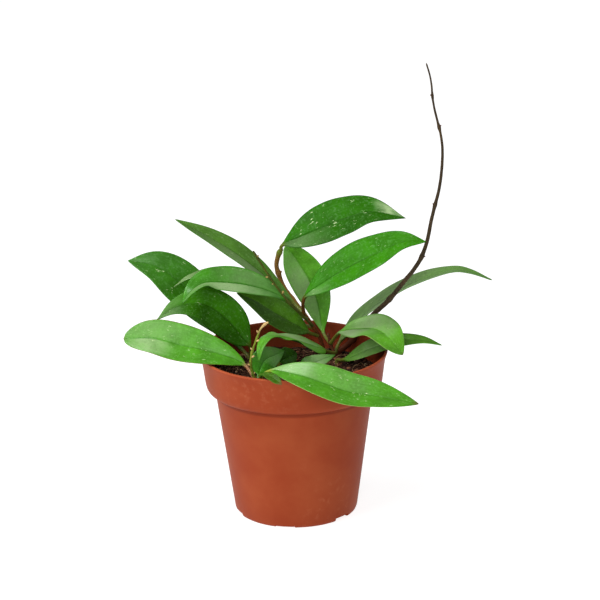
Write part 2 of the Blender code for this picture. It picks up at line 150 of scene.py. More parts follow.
# Side shoots: the stem each grows from and the height there, the points it grows through, and its radii
SHOOTS = {
    "upper_shoot": dict(
        stem="vine", at=101,
        route=[(6, 31, 108), (0, 35, 115), (-5, 37, 122), (-8, 38, 130), (-9, 38, 136), (-7, 37, 143),
               (-6, 36, 145)],
        radii=(1.2, 1.4)),
    "old_twig": dict(
        stem="vine", at=102,
        route=[(6, 14, 111), (-1, 9, 120), (-6, 8, 127), (-13, 6, 138), (-22, 5, 154)],
        radii=(0.8, 0.6)),
}

# Leaves. Each grows from a stem at a height, or stands in the soil at (x, y). Its midrib runs through the
# route, from the foot of the blade to the tip. Its upper side faces one way at the foot and another at the
# tip. Its edges rise (+) or fall (-) from the midrib, it is widest at a share of its length, and its tip is
# fine (1) or blunt (0.5).
UP_AND_FRONT = (0.0, -0.7, 0.7)
LEAVES = {
    "front_right_leaf": dict(
        stem="front_twig", at=86,
        route=[(-13, -43, 98), (4, -52, 98.5), (17, -56, 95), (29, -58, 91), (46, -59, 88),
               (69, -60, 83)],
        width=24, faces=((0.0, -0.5, 0.9), (0.1, -0.55, 0.85)), rise=0.1, widest=0.48, point=0.9),
    "front_left_leaf": dict(
        stem="front_twig", at=88,
        route=[(-27, -22, 94), (-37, -21, 99.5), (-52, -20, 104), (-66, -18, 107), (-80, -16, 110),
               (-96, -14, 109)],
        width=24, faces=((0.0, -0.7, 0.7), (0.0, -0.65, 0.75)), rise=0.1, widest=0.6, point=0.55),
    "rim_leaf": dict(
        stem="front_twig", at=82,
        route=[(-18, -46.5, 97), (-13, -53, 98.3), (-6.5, -59, 95.5)],
        width=6, faces=((0.0, -0.3, 1.0), (0.0, -0.5, 0.85)), rise=0.1, widest=0.6),
    "small_front_leaf": dict(
        stem="front_twig", at=83,
        route=[(-20, -24, 89), (-18, -18.5, 93), (-15, -14.5, 95.5), (-5, -9.5, 98.5)],
        width=15, faces=((0.0, -1.0, 0.3), (0.2, -1.0, 0.4)), rise=0.1, widest=0.4),
    "left_droop_leaf": dict(
        stem="left_stem", at=91,
        route=[(-25, 2, 98), (-29, 2, 103), (-37, 1, 114), (-48, -1, 123.5), (-58, -3, 125.5),
               (-68, -5, 123.5), (-78, -8, 117)],
        width=23, faces=((0.2, -1.0, 0.4), (-0.2, -0.7, 0.7)), rise=0.0, widest=0.38, point=1.3),
    "far_left_leaf": dict(
        stem="left_stem", at=88,
        route=[(-29, 11, 92), (-34, 12, 97), (-48, 14, 114), (-63, 16, 131), (-77, 16, 142),
               (-94, 16, 146)],
        width=26, faces=((0.4, -0.8, 0.5), (0.2, -0.8, 0.5)), rise=0.05, widest=0.58),
    "long_upper_left_leaf": dict(
        stem="vine", at=109,
        route=[(0, 27, 116), (-19, 29, 134.5), (-40, 32, 150), (-67, 34, 165)],
        width=18, faces=((0.4, -0.3, 0.85), (0.3, -0.4, 0.85)), rise=0.1, widest=0.48),
    "arched_leaf": dict(
        stem="vine", at=107,
        route=[(-3, 13.5, 120.5), (-8, 12, 124.8), (-14, 10, 128.5), (-21, 8, 131.5), (-30, 5, 134.6),
               (-41, 1, 137), (-50, -3, 137.8), (-57, -9, 135), (-62, -12, 128.5)],
        width=19, faces=((0.2, -0.5, 0.85), (-0.6, -0.6, 0.6)), rise=0.25, widest=0.5),
    "hidden_twin_leaf": dict(
        stem="vine", at=100,
        route=[(2.5, 27, 103.5), (-6, 27, 114.5), (-21, 25, 128), (-42, 20, 136.5), (-58, 12, 137),
               (-68, 9, 131.5)],
        width=12, faces=((0.2, -0.4, 0.85), (-0.5, -0.4, 0.7)), rise=0.0, widest=0.5, point=1.3),
    "under_leaf": dict(
        stem="vine", at=95,
        route=[(9, 22.5, 98.5), (3, 20, 103.5), (-10, 16, 113), (-21, 12, 121.5), (-32, 8, 128)],
        width=20, faces=((0.5, -0.6, 0.6), (0.5, -0.6, 0.6)), rise=0.0, widest=0.45),
    "top_leaf": dict(
        stem="upper_shoot", at=146,
        route=[(-5, 35, 148), (5, 32, 154), (19, 29, 161), (31, 27, 166), (46, 25, 170), (66, 23, 166)],
        width=26, faces=(UP_AND_FRONT, UP_AND_FRONT), rise=0.1, widest=0.43, point=1.15),
    "upper_right_leaf": dict(
        stem="vine", at=112,
        route=[(7, 12, 123), (19, 6, 135), (34, 0, 146), (48, -4, 154), (62, -7, 161), (76, -8, 161)],
        width=24, faces=(UP_AND_FRONT, (0.0, -0.6, 0.8)), rise=0.1, widest=0.5),
    "upright_leaf": dict(
        stem="dark_stem", at=90,
        route=[(18, 39, 92), (16, 42, 102), (14, 44, 112), (10, 45, 123), (5, 46, 132), (0.5, 46, 139),
               (-4, 46, 144)],
        width=22, faces=((-0.2, -1.0, 0.2), (-0.2, -1.0, 0.2)), rise=0.1, widest=0.6, point=0.7),
    "long_right_leaf": dict(
        stem="dark_stem", at=84,
        route=[(27.5, 34, 89), (38.5, 38, 101.5), (52, 33, 114), (71, 25, 127.5), (91, 20, 135),
               (102, 17, 135), (115, 13, 131)],
        width=21, faces=((-0.45, -0.25, 0.8), (0.0, 0.05, 1.0)), rise=0.05, widest=0.42),
    "right_droop_leaf": dict(
        stem="dark_stem", at=90,
        route=[(26, 23, 97), (30.5, 16, 101.5), (38, 7, 105.5), (47, -5, 109), (54.5, -14, 106.5),
               (62, -17, 97)],
        width=23, faces=((-0.2, -0.55, 0.8), (0.6, -0.7, 0.4)), rise=0.1, widest=0.6, point=0.8),
    "low_right_leaf": dict(
        stem="soil", at=(25, 16),
        route=[(29, 13, 84.5), (36, 7, 89.5), (43, 2, 94.5), (52.5, -2, 99), (62, -3, 101), (74, -3, 101),
               (85, -4, 98)],
        width=12.5, faces=((-0.2, -0.6, 0.8), (0.0, -0.4, 0.9)), rise=0.1, widest=0.42),
    "folded_leaf": dict(
        stem="dark_stem", at=84,
        route=[(18, 20, 88), (13, 14, 92.5), (7, 7, 97.5), (1, -1, 102.5), (-5, -9, 107),
               (-11, -15, 109.5), (-15.5, -20, 109.5), (-18.5, -24.5, 105.5), (-19.5, -27.5, 98)],
        width=16, faces=((0.3, -0.35, 0.9), (-0.8, -0.5, 0.3)), rise=-0.1, widest=0.38, point=0.75),
    "small_centre_leaf": dict(
        stem="soil", at=(2, -8),
        route=[(5, -8, 88), (10.5, -7, 89.5), (17, -4, 91), (24, 0, 92)],
        width=10, faces=((0.0, -0.8, 0.6), (0.0, -0.6, 0.8)), rise=0.0, widest=0.25),
    "shaded_leaf": dict(
        stem="soil", at=(-9, 5),
        route=[(-8, 6, 86), (-5, 7, 88), (2, 9, 90.5)],
        width=12, faces=((0.0, -0.9, 0.3), (0.0, -0.9, 0.3)), rise=0.0, widest=0.45, point=0.8),
}

# -------------------- finishes

def srgb(red, green, blue):
    """A colour from screen values of 0 to 255."""
    return tuple((value / 255) ** 2.2 for value in (red, green, blue)) + (1.0,)


def tone(colour, gain, pale=0.0):
    """The colour made brighter or darker, and mixed a little with a pale grey."""
    return tuple(min(value * gain * (1 - pale) + pale * 0.5, 1.0) for value in colour[:3]) + (1.0,)


POT_DARK = srgb(137, 58, 33)
POT_LIGHT = srgb(147, 69, 41)
POT_DRIFT = srgb(130, 52, 30)
# Colour of the painted shadow under the band
POT_GROOVE_SHADOW = srgb(98, 34, 16)
POT_DUST = srgb(190, 118, 88)
# Colour of the painted highlight on the lip
POT_LIP_HIGHLIGHT = srgb(200, 108, 74)
BRIGHT = srgb(70, 138, 20)
GREEN = srgb(52, 116, 12)
GREYISH = srgb(68, 110, 34)
UNDERSIDE = srgb(52, 96, 30)
# Pale colour of the painted sheens on the leaves
PAINTED_SHEEN = srgb(166, 190, 140)
SILVER_FLECK = srgb(204, 226, 166)
PALE_EDGE = srgb(168, 190, 108)
DARK_EDGE = srgb(26, 60, 12)
GREEN_EDGE = srgb(84, 140, 50)
RED_EDGE = srgb(138, 84, 52)
OLIVE = srgb(98, 104, 40)
BROWN = srgb(96, 64, 34)
DRY_TIP = srgb(104, 78, 48)


class Value:
    """A shader socket. Python's operators on it add Math nodes."""

    def __init__(self, finish, socket):
        self.finish = finish
        self.socket = socket

    def math(self, operation, *inputs):
        return self.finish.node("ShaderNodeMath", {"operation": operation}, dict(enumerate(inputs)))

    def __add__(self, other):
        return self.math("ADD", self, other)

    def __radd__(self, other):
        return self.math("ADD", other, self)

    def __sub__(self, other):
        return self.math("SUBTRACT", self, other)

    def __rsub__(self, other):
        return self.math("SUBTRACT", other, self)

    def __mul__(self, other):
        return self.math("MULTIPLY", self, other)

    def __pow__(self, other):
        return self.math("POWER", self, other)

    def __abs__(self):
        return self.math("ABSOLUTE", self)

    def wave(self):
        """0 to 1 and back as this value grows by 1."""
        return self.math("SINE", self * math.tau) * 0.5 + 0.5

    def ease(self, low, high):
        """0 at low, 1 at high, and a smooth step between. Low may be the higher one of the two."""
        if low > high:
            return 1 - self.ease(high, low)
        settings = {"interpolation_type": "SMOOTHSTEP"}
        return self.finish.node("ShaderNodeMapRange", settings, {0: self, 1: low, 2: high})


class Finish:
    """A material: a Principled surface and the nodes that feed it."""

    def __init__(self, name, **constants):
        self.material = bpy.data.materials.new(name)
        self.material.use_nodes = True
        self.tree = self.material.node_tree
        self.surface = self.tree.nodes["Principled BSDF"]
        for socket, value in constants.items():
            self.surface.inputs[socket.replace("_", " ")].default_value = value

    def node(self, kind, settings=None, inputs=None, output=0):
        """One of this node's outputs, with its settings made first and then its inputs set or linked."""
        made = self.tree.nodes.new(kind)
        for name, value in (settings or {}).items():
            setattr(made, name, value)
        for key, value in (inputs or {}).items():
            if isinstance(value, Value):
                self.tree.links.new(value.socket, made.inputs[key])
            else:
                made.inputs[key].default_value = value
        return Value(self, made.outputs[output])

    def object_place(self):
        return self.node("ShaderNodeTexCoord", output=3)

    def parts(self, vector):
        """The three numbers of a vector."""
        return [self.node("ShaderNodeSeparateXYZ", inputs={0: vector}, output=index) for index in range(3)]

    def attribute(self, name):
        """The three numbers of a piece's own attribute."""
        return self.parts(self.node("ShaderNodeAttribute", {"attribute_name": name}, output=1))

    def place(self, x, y, z):
        return self.node("ShaderNodeCombineXYZ", inputs={0: x, 1: y, 2: z})

    def stretched(self, place, scale):
        return self.node("ShaderNodeMapping", inputs={"Vector": place, "Scale": scale})

    def noise(self, place, scale, detail=2.0, roughness=0.5):
        inputs = {"Vector": place, "Scale": scale, "Detail": detail, "Roughness": roughness}
        return self.node("ShaderNodeTexNoise", inputs=inputs)

    def cells(self, place, scale):
        """Distance from the nearest of many scattered points."""
        return self.node("ShaderNodeTexVoronoi", {"feature": "F1"}, {"Vector": place, "Scale": scale})

    def mix(self, factor, first, second):
        """The first colour where factor is 0 and the second where it is 1."""
        return self.node("ShaderNodeMix", {"data_type": "RGBA"}, {0: factor, 6: first, 7: second}, output=2)

    def shaded(self, colour, gain):
        """The colour made brighter or darker."""
        return self.node("ShaderNodeVectorMath", {"operation": "SCALE"}, {0: colour, 3: gain})

    def paint(self, **sockets):
        """Feeds the surface's sockets."""
        for name, value in sockets.items():
            self.tree.links.new(value.socket, self.surface.inputs[name.replace("_", " ")])

    def bump(self, height, depth, strength=1.0):
        """Dents the surface by up to this many millimetres."""
        inputs = {"Height": height, "Distance": depth * MM, "Strength": strength}
        self.paint(Normal=self.node("ShaderNodeBump", inputs=inputs))


def waxy_leaf(name, seed, upper, margin, flecks, stalk, tip, gloss, painted_half_shades, painted_sheens, sheen):
    """A thick waxy blade: mottled green, a sunk midrib, clustered silver flecks and a duller underside.

    Its attribute runs along the blade (0 to 1, and under 0 on the stalk), across it (-1 to 1) and from the
    lower face (-1) to the upper one (1). One half beside the midrib is painted lighter or darker than the
    other, as painted shade. A painted sheen is where its middle lies along the blade, how far it reaches,
    which half it is on (-1, 1, or 0 for both) and how strong it is.
    """
    finish = Finish(name, Specular_IOR_Level=sheen)
    along, across, face = finish.attribute("leaf_place")
    flat = finish.place(along * 9 + seed * 3.17, across * 1.2, face * 0.2 + seed)
    cloud = finish.noise(flat, 0.9, 3.0)
    grain = finish.noise(flat, 7.0, 4.0, 0.6)
    out = abs(across)
    blade = along.ease(-0.02, 0.05)
    underside = face.ease(0.05, -0.05)
    veins = ((along * 10 - out * 1.2 + cloud * 0.8).wave() ** 4) * out.ease(0.03, 0.25) * blade
    rib = out.ease(0.06, 0.015) * blade

    # Greens, mottled and drawn out along the blade
    colour = finish.mix(cloud.ease(0.3, 0.7), tone(upper, 0.8), tone(upper, 1.16))
    drawn = finish.noise(finish.place(along * 5 + seed * 2.3, across * 15, seed * 1.9), 1.0, 3.0)
    colour = finish.mix(drawn.ease(0.5, 0.72) * 0.35, colour, tone(upper, 1.35, 0.06))
    colour = finish.mix(drawn.ease(0.5, 0.3) * 0.35, colour, tone(upper, 0.72))
    # Painted shade: one half beside the midrib is made lighter or darker than the other.
    colour = finish.shaded(colour, painted_half_shades[0] + across.ease(-0.06, 0.06) * (painted_half_shades[1] - painted_half_shades[0]))

    # Painted sheens, grain, veins and midrib
    drift = along + cloud * 0.24 - 0.12
    # Painted sheens: pale patches where light glances off the waxy blade.
    for centre, reach, half, strength in painted_sheens:
        sheen_patch = (abs(drift - centre) * (1 / reach)).ease(1.1, -0.1) * (0.5 + grain * 1.2)
        sheen_patch = sheen_patch * (across * half).ease(0.0, 0.1) * out.ease(1.05, 0.8) if half else sheen_patch
        colour = finish.mix(sheen_patch * strength, colour, PAINTED_SHEEN)
    colour = finish.mix(grain.ease(0.5, 0.7) * 0.55, colour, tone(upper, 1.45, 0.1))
    colour = finish.mix(grain.ease(0.45, 0.25) * 0.2, colour, tone(upper, 0.72))
    colour = finish.mix(veins * 0.03, colour, tone(upper, 1.5, 0.1))
    # Painted shade: the midrib's groove is darkened on the upper side, most towards the foot.
    colour = finish.mix(rib * 0.45 * along.ease(1.0, 0.4), colour, tone(upper, 0.45))

    # Silver flecks, which are short dashes in clusters, and the blade's edge
    streaks = finish.place(along * 17 - out * 3 + seed * 7.3, across * 13 + along * 4, seed * 3.1)
    clusters = finish.noise(flat, 2.2, 1.0).ease(0.62 - flecks * 0.06, 0.69 - flecks * 0.04)
    spots = finish.noise(streaks, 1.6, 2.0, 0.6).ease(0.62, 0.68) * clusters * blade * out.ease(0.95, 0.85)
    colour = finish.mix(spots * flecks, colour, SILVER_FLECK)
    edge = out.ease(0.955, 0.995) * blade
    colour = finish.mix(edge * 0.6, colour, margin)

    # The underside, a dry tip and the stalk
    lower_skin = finish.mix(cloud.ease(0.3, 0.7), tone(UNDERSIDE, 0.88), tone(UNDERSIDE, 1.12))
    lower_skin = finish.mix(rib * 0.5, lower_skin, tone(UNDERSIDE, 1.5, 0.06))
    colour = finish.mix(underside, colour, lower_skin)
    if tip:
        colour = finish.mix((along + cloud * 0.04).ease(1.03 - tip, 1.04), colour, DRY_TIP)
    stalk_skin = finish.mix(grain.ease(0.35, 0.7), tone(stalk, 0.8), tone(stalk, 1.2))
    colour = finish.mix(blade, stalk_skin, colour)

    roughness = gloss + grain * 0.08 + cloud * 0.08 + underside * 0.2 - spots * 0.05
    finish.paint(Base_Color=colour, Roughness=roughness)
    finish.bump(grain * 0.12 + veins * 0.06 - rib * 0.6 + cloud * 1.2, 0.4, 0.7)
    return finish.material


def bark(name, dark, light, dry=None):
    """Woody skin: streaks along the stem, small pale pores and a fine grain.

    Dry is a colour and the heights between which the stem turns to it, upwards or downwards.
    """
    finish = Finish(name, Specular_IOR_Level=0.2)
    along, around, height = finish.attribute("stem_place")
    streaks = finish.noise(finish.place(along * 22, around * 9, 0.0), 1.0, 4.0, 0.6)
    blotches = finish.noise(finish.object_place(), 90.0, 3.0)
    pores = finish.cells(finish.object_place(), 700.0).ease(0.16, 0.08)
    colour = finish.mix(streaks.ease(0.35, 0.68), dark, light)
    colour = finish.mix(blotches.ease(0.45, 0.75) * 0.5, colour, tone(light, 1.35))
    colour = finish.mix(pores * 0.35, colour, tone(light, 2.0, 0.1))
    if dry:
        husk, start, end = dry
        colour = finish.mix(height.ease(start, end), colour, husk)
    finish.paint(Base_Color=colour, Roughness=0.6 + streaks * 0.2)
    finish.bump(streaks + pores * 0.4, 0.25, 0.9)
    return finish.material


def moulded_plastic():
    """Terracotta plastic: cloudy, finely pitted and dusty in places, with painted shade inside and under its
    band and a painted highlight along its lip.
    """
    finish = Finish("moulded_terracotta_plastic", Specular_IOR_Level=0.07)
    place = finish.object_place()
    x, y, z = [part * (1 / MM) for part in finish.parts(place)]
    cloud = finish.noise(place, 34.0, 4.0, 0.55)
    drift = finish.noise(finish.stretched(place, (9.0, 9.0, 30.0)), 1.0, 3.0)
    peel = finish.noise(place, 1400.0, 2.0)
    colour = finish.mix(cloud.ease(0.3, 0.72), POT_DARK, POT_LIGHT)
    colour = finish.mix(drift.ease(0.4, 0.75) * 0.35, colour, POT_DRIFT)
    level = finish.place(x, y, 0.0)
    radius = finish.node("ShaderNodeVectorMath", {"operation": "LENGTH"}, {0: level}, output=1)
    # Painted shade: the inner wall above the soil is darkened.
    inside = (radius - z * WALL_SLOPE).ease(INSIDE_RADIUS + INSIDE_BLUR, INSIDE_RADIUS)
    inside = inside * z.ease(*INSIDE_SHADE_HEIGHTS)
    colour = finish.mix(inside, colour, finish.shaded(colour, 0.8))
    # Painted shadow: a soft dark line in the crease under the band.
    groove = abs(z - GROOVE_SHADOW_HEIGHT).ease(*GROOVE_SHADOW_REACH)
    colour = finish.mix(groove * 0.6, colour, POT_GROOVE_SHADOW)
    patches = finish.noise(place, 22.0, 1.0).ease(0.5, 0.72)
    dust = finish.noise(place, 210.0, 5.0, 0.7).ease(0.5, 0.7) * patches
    colour = finish.mix(dust * 0.22, colour, POT_DUST)
    # Painted highlight: a pale line along the top of the lip.
    lip = z.ease(POT_TOP - LIP_HIGHLIGHT_REACH[0], POT_TOP - LIP_HIGHLIGHT_REACH[1])
    colour = finish.mix(lip * 0.2, colour, POT_LIP_HIGHLIGHT)
    finish.paint(Base_Color=colour, Roughness=0.46 + cloud * 0.12 + dust * 0.2)
    finish.bump(peel * 0.6 + cloud * 2.0, 0.08, 0.6)
    return finish.material


def crumbly(name, dark, light):
    """A dull, broken surface in two browns."""
    finish = Finish(name, Specular_IOR_Level=0.2)
    place = finish.object_place()
    lumps = finish.noise(place, CRUMB_GRAIN, 5.0, 0.65)
    patches = finish.noise(place, CRUMB_GRAIN * 0.2, 2.0)
    colour = finish.mix((lumps * 0.6 + patches * 0.5).ease(0.42, 0.75), dark, light)
    finish.paint(Base_Color=colour, Roughness=0.86 + lumps * 0.1)
    finish.bump(lumps, 0.6)
    return finish.material


# -------------------- making of pieces

def add_object(name, data):
    """Puts a new object with this data into the scene."""
    made = bpy.data.objects.new(name, data)
    bpy.context.scene.collection.objects.link(made)
    return made


def mesh_object(name, bm):
    """Puts a new object with this mesh into the scene."""
    mesh = bpy.data.meshes.new(name)
    bm.to_mesh(mesh)
    bm.free()
    return add_object(name, mesh)


def add_piece(name, bm, material, replaces=None):
    """Makes a piece of this mesh, which is in millimetres, and puts it on the part."""
    bmesh.ops.scale(bm, vec=(MM, MM, MM), verts=bm.verts)
    bmesh.ops.recalc_face_normals(bm, faces=bm.faces)
    piece = mesh_object(name, bm)
    piece.data.shade_smooth()
    piece.data.materials.append(material)
    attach(piece, "root")
    if replaces:
        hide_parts(replaces)
    return piece


def smooth_curve(points, per_span):
    """Points along a Catmull-Rom curve through these."""
    ends = [points[0] * 2 - points[1]] + list(points) + [points[-1] * 2 - points[-2]]
    out = []
    for index in range(1, len(ends) - 2):
        p0, p1, p2, p3 = ends[index - 1:index + 3]
        for step in range(per_span):
            t = step / per_span
            out.append(0.5 * (2 * p1 + (p2 - p0) * t + (2 * p0 - 5 * p1 + 4 * p2 - p3) * t * t
                              + (3 * p1 - p0 - 3 * p2 + p3) * t ** 3))
    return out + [points[-1].copy()]


def curve_lengths(curve):
    """How far along the curve each of its points is."""
    lengths = [0.0]
    for a, b in zip(curve, curve[1:]):
        lengths.append(lengths[-1] + (b - a).length)
    return lengths


def point_at(curve, lengths, distance):
    """The point and direction at this distance along a curve, with the direction turning smoothly."""
    distance = min(max(distance, 0.0), lengths[-1])
    index = 0
    while index < len(curve) - 2 and lengths[index + 1] < distance:
        index += 1
    share = (distance - lengths[index]) / (lengths[index + 1] - lengths[index])
    turn = curve_direction(curve, index).lerp(curve_direction(curve, index + 1), share)
    return curve[index].lerp(curve[index + 1], share), turn.normalized()


def curve_direction(curve, index):
    before = curve[max(index - 1, 0)]
    after = curve[min(index + 1, len(curve) - 1)]
    return (after - before).normalized()


def frame_at(direction, facing):
    """Side and normal of a section across this direction, its normal as near to facing as can be."""
    normal = (facing - direction * facing.dot(direction)).normalized()
    return direction.cross(normal).normalized(), normal


def rolled_sheet(rows, columns):
    """A flat sheet to be rolled into a closed body: from 0 to 1, x runs along it and y round it."""
    bm = bmesh.new()
    bmesh.ops.create_grid(bm, x_segments=rows, y_segments=columns, size=0.5)
    bmesh.ops.translate(bm, vec=(0.5, 0.5, 0.0), verts=bm.verts)
    return bm


def close_up(bm):
    """Joins the rolled sheet's seam and its gathered ends."""
    bmesh.ops.remove_doubles(bm, verts=bm.verts, dist=1e-4)
    open_edges = [edge for edge in bm.edges if edge.is_boundary]
    if open_edges:
        bmesh.ops.holes_fill(bm, edges=open_edges)


def rounded_end(share, span):
    """0 at the end of a body and 1 from span on, as a round end."""
    return math.sqrt(max(1 - (1 - min(share / span, 1.0)) ** 2, 0.0))


# -------------------- stems

def root_points(at):
    """The straight foot of a stem or stalk in the soil."""
    heights = (SOIL_HEIGHT - BURIED, SOIL_HEIGHT, SOIL_HEIGHT + STRAIGHT_FOOT)
    return [Vector((*at, height)) for height in heights]


def stem_plan(name):
    return STEMS.get(name) or SHOOTS[name]


def stem_curve(name):
    plan = stem_plan(name)
    route = [Vector(point) for point in plan["route"]]
    if name in STEMS:
        return smooth_curve(root_points(plan["at"]) + route, CURVE_STEPS)
    return smooth_curve([seat_on(plan["stem"], plan["at"], route[0])] + route, CURVE_STEPS)


def point_on(stem, height):
    """A stem's middle at this height, its direction and radius there, and whether it ends there."""
    curve = stem_curve(stem)
    index = min(range(len(curve)), key=lambda i: abs(curve[i].z - height))
    low, high = stem_plan(stem)["radii"]
    radius = low + (high - low) * index / (len(curve) - 1)
    return curve[index], curve_direction(curve, index), radius, index == len(curve) - 1


def seat_on(stem, height, towards):
    """Where a stalk that heads towards a point leaves a stem, a little inside its skin."""
    middle, along, radius, at_end = point_on(stem, height)
    away = towards - middle
    if at_end and away.normalized().dot(along) > 0.7:
        return middle - along * SUNK
    outward = (away - along * away.dot(along)).normalized()
    return middle + outward * max(radius - SUNK, 0.0)


def stem_piece(name, material):
    """A tapered stem that swells at its joints, with a rounded tip and a slightly uneven skin.

    Its attribute runs along the stem, round it (0 to 1 and back) and up, in millimetres.
    """
    curve = stem_curve(name)
    lengths = curve_lengths(curve)
    low, high = stem_plan(name)["radii"]
    rows = max(FEWEST_RINGS, round(lengths[-1] / STEM_STEP))
    bm = rolled_sheet(rows, STEM_SIDES)
    place = bm.verts.layers.float_vector.new("stem_place")
    frames = []
    side = Vector((1.0, 0.0, 0.0))
    for row in range(rows + 1):
        centre, direction = point_at(curve, lengths, lengths[-1] * row / rows)
        side, normal = frame_at(direction, side.cross(direction))
        frames.append((centre, side, normal))
    for vert in bm.verts:
        share, turn = vert.co.x, math.tau * vert.co.y
        centre, side, normal = frames[round(share * rows)]
        distance = share * lengths[-1]
        swell = 0.0
        for height, size in STEM_JOINTS[name]:
            swell += size * math.exp(-((centre.z - height) / SWELL_REACH) ** 2)
        skin = noise.noise(Vector((distance * 0.35, math.cos(turn) * 1.2, math.sin(turn) * 1.2)))
        radius = (low + (high - low) * share) * (1 + UNEVENNESS * skin + swell)
        radius *= rounded_end((1 - share) * lengths[-1], radius * 1.5)
        vert.co = centre + side * (radius * math.cos(turn)) + normal * (radius * math.sin(turn))
        vert[place] = (distance * 0.05, abs(turn / math.pi - 1), centre.z)
    close_up(bm)
    add_piece(f"fine_{name}", bm, material, name)


def buds(name, stem, spots, material):
    """Small nubs at a stem's joints. Each spot is a height, a turn in degrees round the stem and a size."""
    bm = bmesh.new()
    for height, turn, size in spots:
        middle, along, radius, _ = point_on(stem, height)
        side, normal = frame_at(along, Vector((0.0, -1.0, 0.0)))
        angle = math.radians(turn)
        outward = side * math.cos(angle) + normal * math.sin(angle)
        lean = (outward + along * 0.7).normalized()
        spin = lean.to_track_quat("Z", "Y").to_matrix().to_4x4()
        centre = middle + outward * (radius * 0.8) + lean * size * 0.5
        shape = Matrix.Translation(centre) @ spin @ Matrix.Diagonal((0.55, 0.55, 1.0, 1.0))
        bmesh.ops.create_icosphere(bm, subdivisions=2, radius=size, matrix=shape)
    bm.verts.layers.float_vector.new("stem_place")  # left at zero: no streaks
    add_piece(name, bm, material)


# -------------------- leaves

def blade_half_width(t, width, widest, point):
    """Half the blade's width at share t of its length."""
    rising = (t / widest) ** (point * widest / (1 - widest))
    falling = ((1 - t) / (1 - widest)) ** point
    return width / 2 * rising * falling


def section_place(turn):
    """Across and up (-1 to 1) round a section, for a share of the turn round it from its left edge."""
    upper = turn < 0.5
    run = turn * 4 - 1 if upper else 3 - turn * 4
    across = 0.5 * run + 0.5 * math.sin(run * math.pi / 2)
    up = math.sqrt(max(1 - abs(run) ** 4, 0.0))
    return across, up if upper else -up


def leaf_piece(name, stem, at, route, width, faces, rise, widest, point=1.0):
    """A blade and its stalk as one closed body, with a grooved midrib, a keel and gently waved edges."""
    first = Vector(route[0])
    stalk = root_points(at) if stem == "soil" else [seat_on(stem, at, first)]
    curve = smooth_curve(stalk + [Vector(p) for p in route], CURVE_STEPS)
    lengths = curve_lengths(curve)
    foot = lengths[CURVE_STEPS * len(stalk)]
    face_foot, face_tip = Vector(faces[0]), Vector(faces[1])
    look = LEAF_LOOKS[name]
    seed = list(LEAVES).index(name)
    bm = rolled_sheet(LEAF_ROWS, LEAF_COLUMNS)
    place = bm.verts.layers.float_vector.new("leaf_place")
    rows = []
    for row in range(LEAF_ROWS + 1):
        share = row / LEAF_ROWS
        t = (share - STALK_SHARE) / (1 - STALK_SHARE)
        distance = foot * share / STALK_SHARE if t < 0 else foot + (lengths[-1] - foot) * t
        centre, direction = point_at(curve, lengths, distance)
        side, normal = frame_at(direction, face_foot.lerp(face_tip, max(t, 0.0)))
        rows.append((t, centre, side, normal))
    for vert in bm.verts:
        t, centre, side, normal = rows[round(vert.co.x * LEAF_ROWS)]
        across, up = section_place(vert.co.y)
        if t < 0:
            radius = STALK_RADIUS * (1 + (STALK_FLARE - 1) * math.exp(-(1 + t / STALK_SHARE * 0.8) * 6))
            angle = math.atan2(up, across) if abs(across) + abs(up) > 0 else 0.0
            vert.co = centre + side * (radius * math.cos(angle)) + normal * (radius * math.sin(angle))
            vert[place] = (t * 4, across, up)
            continue
        spread = min(t / BLADE_SPREAD, 1.0)
        half = max(blade_half_width(t, width, widest, point), STALK_RADIUS * (1 - t) + 0.3 * t)
        half *= rounded_end(1 - t, TIP_ROUNDING)
        thickness = 2 * STALK_RADIUS + (BLADE_THICKNESS - 2 * STALK_RADIUS) * spread
        thickness *= rounded_end(1 - t, TIP_ROUNDING)
        lift = rise * spread * half * abs(across) ** 1.4
        lift += look["keel"] * spread * half * (abs(across) - 0.5)
        wave = noise.noise(Vector((t * 5 + seed * 9.1, across * 0.9, seed * 3.7)))
        lift += WAVINESS * spread * (1 - t * t) * wave * (0.3 + abs(across) ** 2)
        groove = math.exp(-(across / RIB_WIDTH) ** 2) * spread * (1 - t)
        skin = up * thickness / 2 * (1 - 0.3 * spread * across * across)
        skin -= groove * (RIB_SUNK if up > 0 else RIB_PROUD)
        vert.co = centre + side * (half * across) + normal * (lift + skin)
        vert[place] = (t, across, up)
    close_up(bm)
    material = waxy_leaf(f"waxy_{name}", seed, **look["finish"])
    add_piece(f"fine_{name}", bm, material, name)


# -------------------- pot

def body_radius(height):
    return BODY_FOOT_RADIUS + (BODY_TOP_RADIUS - BODY_FOOT_RADIUS) * height / BAND_LOW


